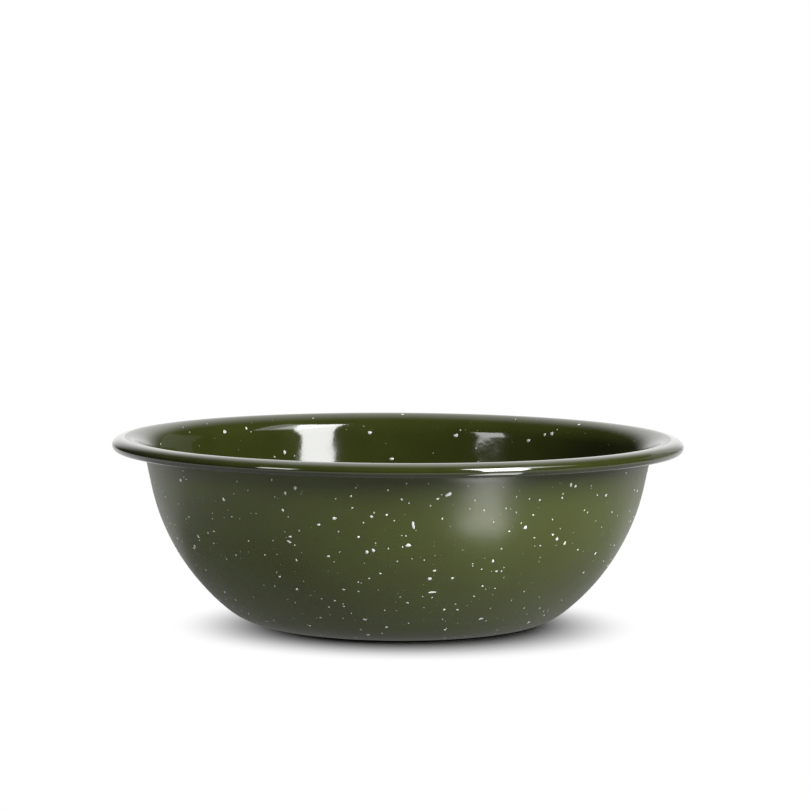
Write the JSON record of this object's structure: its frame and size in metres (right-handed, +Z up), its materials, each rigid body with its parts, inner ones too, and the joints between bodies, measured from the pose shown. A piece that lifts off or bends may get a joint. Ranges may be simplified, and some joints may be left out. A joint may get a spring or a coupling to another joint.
{
  "type": "enamel bowl",
  "caption": "Round dark green enamelled steel bowl with white flecks, a flared lip, a rolled rim and a flat base, for serving or washing.",
  "frame": {"origin": "middle of the flat base, on the plane that the bowl stands on", "axes": "+Z up along the bowl's axis; the front of the picture faces -Y, with +X to its right"},
  "size_m": [0.155, 0.155, 0.0508],
  "materials": {
    "sheet_steel": "satin",
    "ground_coat": "satin",
    "green_gloss": "gloss",
    "green_satin": "satin",
    "green_rim": "gloss",
    "white_fleck": "gloss"
  },
  "bodies": {
    "root": {"steel_shell": "sheet_steel", "ground_coat_inside": "ground_coat", "ground_coat_outside": "ground_coat", "green_enamel_inside": "green_gloss", "green_enamel_outside": "green_satin", "green_enamel_base": "green_satin", "green_enamel_rim": "green_rim", "white_flecks_inside": "white_fleck", "white_flecks_outside": "white_fleck"}
  },
  "joints": []
}
